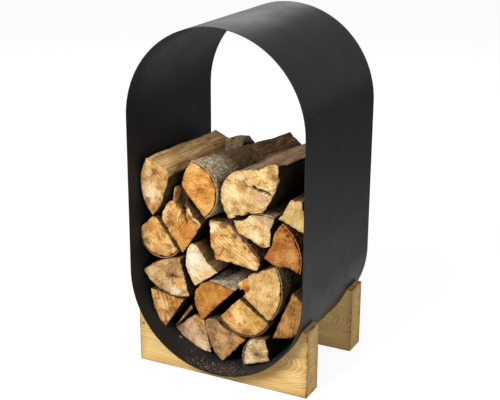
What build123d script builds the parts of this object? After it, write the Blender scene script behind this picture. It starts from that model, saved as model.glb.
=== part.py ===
from build123d import *
import os
from dataclasses import dataclass
from math import atan2, cos, hypot, radians, sin, sqrt

# Firewood log rack: a stadium-shaped hoop of rolled sheet steel that lies in two sawn timber cradles,
# with its load of split logs. X is to the right, the open front faces -Y, Z is up, the floor is z = 0.
# All sizes are in millimetres.

# Hoop: one steel strip, rolled and closed by a weld at its lowest point, open at the front and back
HOOP_WIDTH = 500.0
HOOP_HEIGHT = 920.0
HOOP_DEPTH = 450.0
SHEET = 2.0
WELD_WIDTH = 3.0

# Cradles: two timber blocks as wide as the hoop, hollowed to its curve
CRADLE_HEIGHT = 188.0
CRADLE_THICK = 70.0
CRADLE_INSET = 38.0
CRADLE_CLEARANCE = 0.2
EDGE_EASE = 1.0
FLOOR_GAP = 28.0

# Countersunk wood screws, driven from inside the hoop into each cradle
SCREW_LENGTH = 40.0
SCREW_SHANK = 5.0
SCREW_POINT = 7.0
SCREW_HEAD = 10.0
SCREW_HEAD_HEIGHT = 2.8
SCREW_HEAD_RIM = 0.4
SCREW_SOCKET = 3.0
SCREW_SOCKET_DEPTH = 1.8
SCREW_SWING = 35.0
SCREW_CLEARANCE = 0.1

# Logs: cut to one length and split, their near ends set back from the hoop's front edge
LOG_LENGTH = 330.0
LOG_SETBACK = 70.0
LOG_TAPER = 0.95
LOG_CLEARANCE = 0.4
BARK_THICK = 5.0
TILT_LIMIT = 14.0

# The log outlines are drawn for a bay of this inside radius, and follow the bay's real radius
DRAWN_BAY_RADIUS = 248.0
DRAWN_BAY_FLOOR = 30.0

HOOP_RADIUS = HOOP_WIDTH / 2
BAY_RADIUS = HOOP_RADIUS - SHEET
LOW_CENTRE_Z = FLOOR_GAP + HOOP_RADIUS
CRADLE_Y = HOOP_DEPTH / 2 - CRADLE_INSET - CRADLE_THICK / 2
PILE_SCALE = BAY_RADIUS / DRAWN_BAY_RADIUS
PILE_RISE = FLOOR_GAP + SHEET - DRAWN_BAY_FLOOR * PILE_SCALE

# Where along the length two logs are set against each other, and how finely their rounds are followed
STATIONS = [step / 24 for step in range(25)]
ARC_STEP = radians(4.0)


@dataclass
class Log:
    """One split log, as its near end is drawn.

    corners run anticlockwise, seen from the front: (x, z), or (x, z, bow) where the stretch that
    ends there is round and bows out by that much. bark is the corner at which the barked stretch
    ends. ahead and longer are measured from the common front line and cut length, and drift is how
    far the far end lies to the right of the near end. The last three are where it comes to rest:
    how far it is moved from the hoop's wall, and how far each end drops.
    """
    name: str
    corners: list
    bark: int = None
    ahead: float = 0.0
    longer: float = 0.0
    drift: float = 0.0
    wall_shift: float = 0.0
    near_drop: float = 0.0
    far_drop: float = 0.0

    @property
    def front(self):
        return LOG_SETBACK - HOOP_DEPTH / 2 - self.ahead

    @property
    def back(self):
        return self.front + LOG_LENGTH + self.longer

    def loop(self):
        """The corners in the part's frame, as (x, z, bow)."""
        loop = []
        for x, z, *bow in self.corners:
            loop.append((x * PILE_SCALE, z * PILE_SCALE + PILE_RISE, sum(bow) * PILE_SCALE))
        return loop

    def placed(self, loop, share):
        """A loop of this log's corners, tapered and moved to its place at a share of the length."""
        whole = self.loop()
        centre_x = sum(corner[0] for corner in whole) / len(whole)
        centre_z = sum(corner[1] for corner in whole) / len(whole)
        size = 1 + (LOG_TAPER - 1) * share
        shift_x = self.drift * share + self.wall_shift
        shift_z = -self.near_drop - (self.far_drop - self.near_drop) * share
        corners = []
        for x, z, bow in loop:
            new_x = centre_x + (x - centre_x) * size + shift_x
            new_z = centre_z + (z - centre_z) * size + shift_z
            corners.append((new_x, new_z, bow * size))
        return corners

    def share_at(self, y):
        return (y - self.front) / (self.back - self.front)

    def outline_at(self, y):
        """The log's outline at a place along the hoop's depth, as points."""
        return traced(self.placed(self.loop(), self.share_at(y)))


# The cut list, in the order in which the pile is laid
LOGS = [
    Log("log_floor_centre", [(-12, 33, 15), (60, 113), (0, 133), (-38, 157), (-64, 147)]),
    Log("log_floor_right", [(57, 34, 13), (135, 64), (122, 125), (77, 117)], bark=0, ahead=12),
    Log("log_floor_left", [(-165, 101), (-52, 47, 12), (-70, 140), (-101, 155)], ahead=-12),
    Log("log_floor_far_left", [(-222, 216), (-204, 146, 4), (-176, 105, 3), (-119, 197)], ahead=20),
    Log("log_floor_far_right",
        [(136, 138), (190, 150), (230, 190, 4), (234, 225), (193, 278, 8)], ahead=6),
    Log("kindling_stick", [(-158, 113), (-149, 118), (-100, 178), (-106, 188)], longer=-25),
    Log("log_second_centre", [(-20, 162), (130, 168, 47), (40, 226)], bark=1, ahead=4),
    Log("log_second_left", [(-74, 143, 4), (27, 252), (-50, 267, 3), (-98, 206, 13)], bark=2, longer=8),
    Log("log_second_far_left", [(-244, 267, 11), (-101, 216, 28), (-128, 322)], ahead=18),
    Log("log_second_right",
        [(44, 227), (118, 172), (131, 174), (143, 328, 24), (74, 297), (29, 260)], bark=3, ahead=-4),
    Log("log_third_left", [(-90, 247, 22), (-22, 297), (-56, 322), (-86, 366), (-104, 366)], ahead=5),
    Log("log_third_right",
        [(105, 349), (142, 333), (178, 336), (211, 324), (158, 455, 24), (139, 430), (127, 386)],
        bark=4, longer=-8),
    Log("log_third_centre",
        [(-34, 313), (14, 312), (86, 303), (97, 321), (94, 338), (2, 424, 6), (-54, 424), (-50, 350)],
        bark=5, ahead=-6),
    Log("log_third_far_left",
        [(-246, 352), (-131, 340, 34), (-195, 424), (-209, 428), (-247, 392)], bark=1, ahead=20),
    Log("log_fourth_left",
        [(-126, 346), (-90, 396), (-68, 434), (-104, 471), (-124, 490), (-160, 487), (-190, 430, 8)],
        ahead=8),
    Log("log_fourth_centre",
        [(106, 373), (126, 381), (129, 428), (139, 463), (74, 463, 4), (46, 439), (18, 437), (34, 403)],
        bark=4, longer=6),
    Log("log_fourth_right", [(144, 462), (224, 430), (211, 521), (180, 521)], ahead=-5),
    Log("log_top_left",
        [(-210, 430, 13), (-184, 458), (-156, 543), (-167, 566), (-227, 591), (-242, 545)],
        ahead=20, longer=25, drift=16),
    Log("log_top_centre", [(-62, 428), (-102, 584, 56), (-131, 512, 5), (-112, 484)],
        bark=1, drift=50),
    Log("log_top_right",
        [(12, 446, 36), (70, 469), (106, 477), (155, 570, 4), (148, 602), (34, 580)],
        ahead=6, longer=12, drift=44),
    Log("log_top_back", [(-8, 546), (16, 558), (-5, 576), (-28, 596), (-44, 578)],
        ahead=-195, longer=-170, drift=44),
    Log("rear_offcut", [(-134, 496), (-101, 498), (-70, 580), (-90, 602), (-130, 582)],
        ahead=-240, longer=-262, drift=4),
]


def bowed_middle(start, end):
    """Middle of the stretch from start to end, moved out by the bow that end carries."""
    run_x = end[0] - start[0]
    run_z = end[1] - start[1]
    run = hypot(run_x, run_z)
    middle_x = (start[0] + end[0]) / 2 + end[2] * run_z / run
    middle_z = (start[1] + end[1]) / 2 - end[2] * run_x / run
    return middle_x, middle_z


def stretches(loop):
    """Each stretch of a loop as its start and its end corner."""
    return [(loop[index - 1], loop[index]) for index in range(len(loop))]


def arc_points(start, end):
    """Points along a round stretch, between its ends."""
    run = hypot(end[0] - start[0], end[1] - start[1])
    radius = run * run / (8 * end[2]) + end[2] / 2
    middle_x = (start[0] + end[0]) / 2
    middle_z = (start[1] + end[1]) / 2
    along_x = (end[0] - start[0]) / run
    along_z = (end[1] - start[1]) / run
    half_turn = atan2(run / 2, radius - end[2])
    count = max(2, round(2 * half_turn / ARC_STEP))
    points = []
    for step in range(1, count):
        turn = half_turn * (2 * step / count - 1)
        along = radius * sin(turn)
        outward = radius * cos(turn) - radius + end[2]
        points.append((middle_x + along * along_x + outward * along_z,
                       middle_z + along * along_z - outward * along_x))
    return points


def traced(loop):
    """A loop as points, with its round stretches followed in small steps."""
    points = []
    for start, end in stretches(loop):
        if end[2]:
            points += arc_points(start, end)
        points.append((end[0], end[1]))
    return points


def upright_span(points, x):
    """Lowest and highest z of a closed outline at x."""
    crossings = []
    for index, (end_x, end_z) in enumerate(points):
        start_x, start_z = points[index - 1]
        if min(start_x, end_x) <= x <= max(start_x, end_x):
            if start_x == end_x:
                crossings += [start_z, end_z]
            else:
                crossings.append(start_z + (end_z - start_z) * (x - start_x) / (end_x - start_x))
    return min(crossings), max(crossings)


def room_over_hoop(points):
    """How far an outline can sink before it meets the hoop's floor."""
    return min(z - LOW_CENTRE_Z + sqrt(max(BAY_RADIUS**2 - x * x, 0.0)) for x, z in points)


def shift_from_walls(points):
    """How far to the right an outline has to move to be clear of the hoop's upright walls."""
    limit = BAY_RADIUS - LOG_CLEARANCE
    from_left = max(0.0, -limit - min(x for x, z in points))
    from_right = max(0.0, max(x for x, z in points) - limit)
    return from_left - from_right


def room_over_log(points, under):
    """The room from an outline down to another, at each place where it lies above the other."""
    left = max(min(x for x, z in points), min(x for x, z in under))
    right = min(max(x for x, z in points), max(x for x, z in under))
    room = []
    for x in [x for x, z in points + under if left <= x <= right]:
        bottom, top = upright_span(points, x)
        under_bottom, under_top = upright_span(under, x)
        if bottom + top > under_bottom + under_top:
            room.append(bottom - under_top)
    return room


def settle(log, lower_logs):
    """Lower a log onto the hoop and the logs under it, then tilt it until it rests at two places."""
    log.wall_shift = shift_from_walls(log.outline_at(log.front) + log.outline_at(log.back))
    room = [(room_over_hoop(log.outline_at(y)), log.share_at(y)) for y in (log.front, log.back)]
    for under in lower_logs:
        start = max(log.front, under.front)
        shared = min(log.back, under.back) - start
        for y in [start + station * shared for station in STATIONS]:
            spaces = room_over_log(log.outline_at(y), under.outline_at(y))
            room += [(space, log.share_at(y)) for space in spaces]
    drop, pivot = min(room)
    free_end = 1.0 if pivot < 0.5 else 0.0
    tilt = TILT_LIMIT
    for space, share in room:
        lever = (share - pivot) / (free_end - pivot)
        if lever > 0:
            tilt = min(tilt, (space - drop) / lever)
    log.near_drop = drop - LOG_CLEARANCE + tilt * (0.0 - pivot) / (free_end - pivot)
    log.far_drop = drop - LOG_CLEARANCE + tilt * (1.0 - pivot) / (free_end - pivot)


def section_wire(loop, y):
    """A loop of corners as a closed wire at a place along the hoop's depth."""
    edges = []
    for start, end in stretches(loop):
        near = (start[0], y, start[1])
        far = (end[0], y, end[1])
        if end[2]:
            middle_x, middle_z = bowed_middle(start, end)
            edges.append(Edge.make_three_point_arc(near, (middle_x, y, middle_z), far))
        else:
            edges.append(Edge.make_line(near, far))
    return Wire(edges)


def lofted(log, loop):
    """A log, or the wood or bark of one, drawn between its two ends."""
    near = section_wire(log.placed(loop, 0.0), log.front)
    far = section_wire(log.placed(loop, 1.0), log.back)
    return Solid.make_loft([near, far], ruled=True)


def towards(corner, goal, distance):
    """The point at a distance from a corner on the straight way to another."""
    run = hypot(goal[0] - corner[0], goal[1] - corner[1])
    share = distance / run
    return corner[0] + (goal[0] - corner[0]) * share, corner[1] + (goal[1] - corner[1]) * share


def split_bark(loop, index):
    """The loops of the wood and of the bark on the round stretch that ends at a corner."""
    start = loop[index - 1]
    end = loop[index]
    inner_start = towards(start, loop[index - 2], BARK_THICK)
    inner_end = towards(end, loop[(index + 1) % len(loop)], BARK_THICK)
    middle = bowed_middle(start, end)
    chord = ((start[0] + end[0]) / 2, (start[1] + end[1]) / 2)
    inner_middle = towards(middle, chord, BARK_THICK)
    inner_chord = ((inner_start[0] + inner_end[0]) / 2, (inner_start[1] + inner_end[1]) / 2)
    out = ((middle[0] - chord[0]) / end[2], (middle[1] - chord[1]) / end[2])
    inner_bow = (inner_middle[0] - inner_chord[0]) * out[0] + (inner_middle[1] - inner_chord[1]) * out[1]
    wood = list(loop)
    wood[index - 1] = (*inner_start, start[2])
    wood[index] = (*inner_end, inner_bow)
    bark = [(start[0], start[1], 0.0), end, (*inner_end, 0.0), (*inner_start, -inner_bow)]
    return wood, bark


def log_pieces(log):
    """A log's wood and, where it has any, its bark."""
    if log.bark is None:
        return {log.name: lofted(log, log.loop())}
    wood, bark = split_bark(log.loop(), log.bark)
    return {log.name: lofted(log, wood), log.name + "_bark": lofted(log, bark)}


def stadium(radius):
    """The hoop's outline at a distance from its arc centres, standing on its end."""
    height = HOOP_HEIGHT - 2 * (HOOP_RADIUS - radius)
    return SlotOverall(height, 2 * radius, rotation=90)


def closed_hoop():
    """The whole rolled strip, with its weld."""
    ring = Pos(0, FLOOR_GAP + HOOP_HEIGHT / 2) * (stadium(HOOP_RADIUS) - stadium(BAY_RADIUS))
    return extrude(Plane.XZ * ring, HOOP_DEPTH / 2, both=True)


def weld_zone():
    """The slot between the strip's two ends, where the weld runs."""
    return Pos(0, 0, FLOOR_GAP) * Box(WELD_WIDTH, HOOP_DEPTH, 4 * SHEET)


def screw(grow=0.0):
    """A wood screw that points down from its head, or the hole for it, larger by a clearance."""
    head = SCREW_HEAD / 2 + grow
    shank = SCREW_SHANK / 2 + grow
    profile = Polyline((0, grow), (head, grow), (head, -SCREW_HEAD_RIM), (shank, -SCREW_HEAD_HEIGHT),
                       (shank, SCREW_POINT - SCREW_LENGTH), (0, -SCREW_LENGTH - grow), close=True)
    return revolve(Plane.XZ * make_face(profile), Axis.Z)


def socketed_screw():
    socket = extrude(RegularPolygon(SCREW_SOCKET / 2, 6, major_radius=False), -SCREW_SOCKET_DEPTH)
    return screw() - socket


def screw_places(y):
    """The places of the screws in the cradle at y, head flush with the inside of the hoop."""
    places = []
    for swing in (-SCREW_SWING, SCREW_SWING):
        places.append(Pos(0, y, LOW_CENTRE_Z) * Rot(0, swing, 0) * Pos(0, 0, -BAY_RADIUS))
    return places


def cradle(y):
    """A timber block across the rack, hollowed to the hoop's curve, with its screw holes."""
    block = Rectangle(HOOP_WIDTH, CRADLE_HEIGHT, align=(Align.CENTER, Align.MIN))
    hollow = Pos(0, LOW_CENTRE_Z) * Circle(HOOP_RADIUS + CRADLE_CLEARANCE)
    timber = Pos(0, y, 0) * extrude(Plane.XZ * (block - hollow), CRADLE_THICK / 2, both=True)
    timber = chamfer(timber.edges(), EDGE_EASE)
    for place in screw_places(y):
        timber -= place * screw(SCREW_CLEARANCE)
    return timber


def drilled_hoop():
    hoop = closed_hoop() - weld_zone()
    for y in (-CRADLE_Y, CRADLE_Y):
        for place in screw_places(y):
            hoop -= place * screw(SCREW_CLEARANCE)
    return hoop


def rack_pieces():
    """The rack itself, without its load."""
    pieces = {"hoop": drilled_hoop(), "hoop_weld": closed_hoop() & weld_zone()}
    for side, y in (("front", -CRADLE_Y), ("rear", CRADLE_Y)):
        pieces[side + "_cradle"] = cradle(y)
        screws = [place * socketed_screw() for place in screw_places(y)]
        pieces[side + "_cradle_screws"] = Compound(children=screws)
    return pieces


pieces = rack_pieces()
for number, log in enumerate(LOGS):
    settle(log, LOGS[:number])
    pieces.update(log_pieces(log))

os.makedirs("parts", exist_ok=True)
for name, piece in pieces.items():
    export_step(piece, f"parts/{name}.step")
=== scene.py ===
import math
import random
from collections.abc import Sequence
from dataclasses import dataclass

import bmesh
import bpy
from mathutils import Matrix, Vector, kdtree, noise


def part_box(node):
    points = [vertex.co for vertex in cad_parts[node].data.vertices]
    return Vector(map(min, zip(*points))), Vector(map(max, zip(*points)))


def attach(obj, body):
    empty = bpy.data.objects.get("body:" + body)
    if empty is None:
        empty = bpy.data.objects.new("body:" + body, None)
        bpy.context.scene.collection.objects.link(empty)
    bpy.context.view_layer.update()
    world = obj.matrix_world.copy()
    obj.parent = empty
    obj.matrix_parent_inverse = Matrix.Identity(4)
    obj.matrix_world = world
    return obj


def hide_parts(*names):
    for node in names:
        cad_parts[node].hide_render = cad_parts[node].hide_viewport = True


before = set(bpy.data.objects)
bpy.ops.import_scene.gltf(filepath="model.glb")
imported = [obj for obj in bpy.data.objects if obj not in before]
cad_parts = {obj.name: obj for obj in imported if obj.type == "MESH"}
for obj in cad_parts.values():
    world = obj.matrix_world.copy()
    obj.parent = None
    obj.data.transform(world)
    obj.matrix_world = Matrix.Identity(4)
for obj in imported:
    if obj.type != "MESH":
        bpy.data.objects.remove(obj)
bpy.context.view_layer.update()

# Looks of a firewood log rack: a black powder-coated steel hoop that lies in two flamed softwood
# cradles and holds split logs. Lengths are in metres, and in millimetres where a name ends in _mm.

MM = 0.001
MERGE = 0.01 * MM

# Camera, at the photograph's angle: turned left of +Y, tipped down, and with a slight roll
CAMERA_PLACE = Vector((1.2518, -2.5367, 1.4155))
CAMERA_YAW = math.radians(26.419)
CAMERA_PITCH = math.radians(18.914)
CAMERA_ROLL = math.radians(0.332)
CAMERA_LENS_MM = 80.13
CAMERA_SENSOR_MM = 36.0

# Sky, and a floor that shows white to the camera but keeps the shadow
SKY_STRENGTH = 0.24
SKY_SHEEN = 0.4
FLOOR_SIZE = 30.0
FLOOR_GLOW = 0.88
FLOOR_SHEEN = 0.5
FLOOR_SHEEN_FADE = (0.3, 2.2)
FLOOR_TONE = (0.3, 0.3, 0.3, 1.0)
WHITE = (1.0, 1.0, 1.0, 1.0)

# Area lights: name, place, the point that it faces, size and power
LIGHTS = [
    ("key", (-0.9, -3.0, 2.6), (0.0, 0.0, 0.45), 1.7, 158.0),
    ("fill", (2.5, -1.9, 1.2), (0.0, 0.0, 0.35), 2.0, 40.0),
    ("sheen", (-1.75, 3.5, 2.3), (0.0, 0.0, 0.95), 1.6, 16.0),
]

# Logs: size of the mesh's quads
LOG_QUAD = 2.8 * MM
FINE_QUAD = 2.2 * MM
STICK_QUAD = 1.8 * MM
BARK_QUAD = 2.2 * MM

# Split sides: ridges along the fibre, broad waves, and long edges that are worn round away from the rims
RIDGE_DEPTH = 1.5 * MM
RIDGE_WIDTH = 11 * MM
RIDGE_LENGTH = 170 * MM
WAVE_DEPTH = 2.4 * MM
WAVE_WIDTH = 42 * MM
WAVE_LENGTH = 160 * MM
SWELL = 0.4 * MM
WORN_FROM_RIM = (3 * MM, 20 * MM)
WORN_ROUNDS = 12

# Sawn ends: chips and notches at the rim, dents, grooves and lumps. A noise is in features per metre.
RIM_REACH = 5.0 * MM
CHIP_DEPTH = 9.0 * MM
CHIP_SIZE = 14 * MM
NOTCH_DEPTH = 5.0 * MM
NOTCH_WIDTH = 20 * MM
NOTCH_LENGTH = 70 * MM
NOTCH_REACH = 22.0 * MM
DENT_LIMIT = 40.0 * MM
DENT_NOISE = 160
GROOVE_WOBBLE = 4 * MM
GROOVE_NOISE = 70
# Depth of a dent or groove at which its painted shade is full
FULL_SHADE_DEPTH = 6 * MM
LUMP_REACH = 70.0 * MM
VALLEY_DEPTH = 24.0 * MM
VALLEY_WOBBLE = 2.5 * MM
TOP_NOISE = 90
END_LUMP_MM = 0.4
END_NOISE = 45
PATCH_STRENGTH = 0.95

# Bark: its plates, and the depth of the furrows and the grain
PLATE_WIDTH = 11 * MM
PLATE_LENGTH = 30 * MM
FURROW_DEPTH_MM = 0.9
GRAIN_DEPTH_MM = 0.7
GRAIN_WIDTH = 6 * MM
GRAIN_LENGTH = 12 * MM

# Hoop: its sheet, and the heights between which dust and dull wear inside fade out
HOOP_SHEET = 2.0 * MM
DUST_FADE_MM = (30.0, 95.0)
DULL_FADE_MM = (480.0, 720.0)

# Bark crumbs on the hoop's floor, in front of the logs: the least, greatest and most common distance
# from the front rim, and how far they swing up the hoop's sides
CRUMB_COUNT = 700
CRUMB_SEED = 7
CRUMB_REACH_MM = (3, 80, 12)
CRUMB_SWING_DEGREES = 11.0

# Cradle timber: rings about a heart line, arches near the right end, a pin knot near the left end of
# the front face, and how far the flame's toast and char reach in from the edges
BOARD_RING_MM = 4.6
RING_WANDER_MM = 18.0
HEART_LEVEL_MM = 100.0
HEART_BACK_MM = 130.0
HEART_DEPTH_SHARE = 0.04
ARCH_START_MM = 120.0
ARCH_STRETCH = 3.0
KNOT_FROM_END = 12 * MM
KNOT_LEVEL = 110 * MM
KNOT_RADIUS_MM = 5.0
FLAME_WANDER_MM = 20.0
TOAST_FADE_MM = (9.0, 38.0)
CHAR_FADE_MM = (6.0, 15.0)

SEEDS = random.Random(20)


def tone(red, green, blue):
    """A colour written as it looks on a screen, 0 to 255, in the linear form that shaders take."""
    parts = []
    for part in (red, green, blue):
        share = part / 255
        parts.append(share / 12.92 if share <= 0.04045 else ((share + 0.055) / 1.055) ** 2.4)
    return (*parts, 1.0)


@dataclass
class EndMark:
    """Something on a log's near end. Its place is in shares of that end's width and height."""
    across: float
    up: float


@dataclass
class Patch(EndMark):
    """A patch of another tone on a sawn end. rays makes it run out in spokes."""
    radius_mm: float
    tone: tuple
    share: float = 0.6
    rays: float = 0.0


@dataclass
class Crack(EndMark):
    """A dark crack that starts at a place on a sawn end and runs off at an angle from level."""
    angle: float
    length_mm: float
    width_mm: float
    share: float = 0.85


@dataclass
class Dent(EndMark):
    """A hollow in a sawn end, or a raised piece where its depth is below zero; dark is how much painted shade
    lies in it.
    """
    radius_mm: float
    depth_mm: float
    dark: float = 1.0


@dataclass
class Groove(EndMark):
    """A wide crack that is open in the wood, from a place on a sawn end off at an angle from level."""
    angle: float
    length_mm: float
    width_mm: float
    depth_mm: float


@dataclass
class Lump(EndMark):
    """A piece that stands up from the top of a log's near end."""
    radius_mm: float
    height_mm: float


@dataclass
class Valley(EndMark):
    """A hollow in a log's top that runs back from its near end. Its slopes are rises per length."""
    left_slope: float
    right_slope: float
    back_slope: float


@dataclass
class LogLook:
    """How one log looks. pith is a place on its near end, in shares as in a mark.

    fresh, middle and stain are the sawn end's tones from pale to dark, pale_side and dark_side those
    of its split sides. line_angle is in degrees from level, line_mm the room between the saw lines and
    line_share how much they show. torn is how far the lines stand out, in millimetres, and the field after
    torn is painted shade:
    how dark the sides are painted deeper in the pile, where the logs shade each other.
    """
    node: str
    slot: str
    fresh: tuple
    middle: tuple
    stain: tuple
    pale_side: tuple = (160, 122, 78)
    dark_side: tuple = (70, 50, 33)
    pith: tuple = (0.5, 0.5)
    ring_share: float = 0.2
    ring_mm: float = 4.0
    line_angle: float = 20.0
    line_mm: float = 4.0
    line_share: float = 0.3
    torn: float = 0.3
    pile_shade: float = 0.85
    patches: Sequence = ()
    cracks: Sequence = ()
    dents: Sequence = ()
    grooves: Sequence = ()
    lumps: Sequence = ()
    valleys: Sequence = ()
    quad: float = LOG_QUAD
    body: str = "rack"


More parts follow.
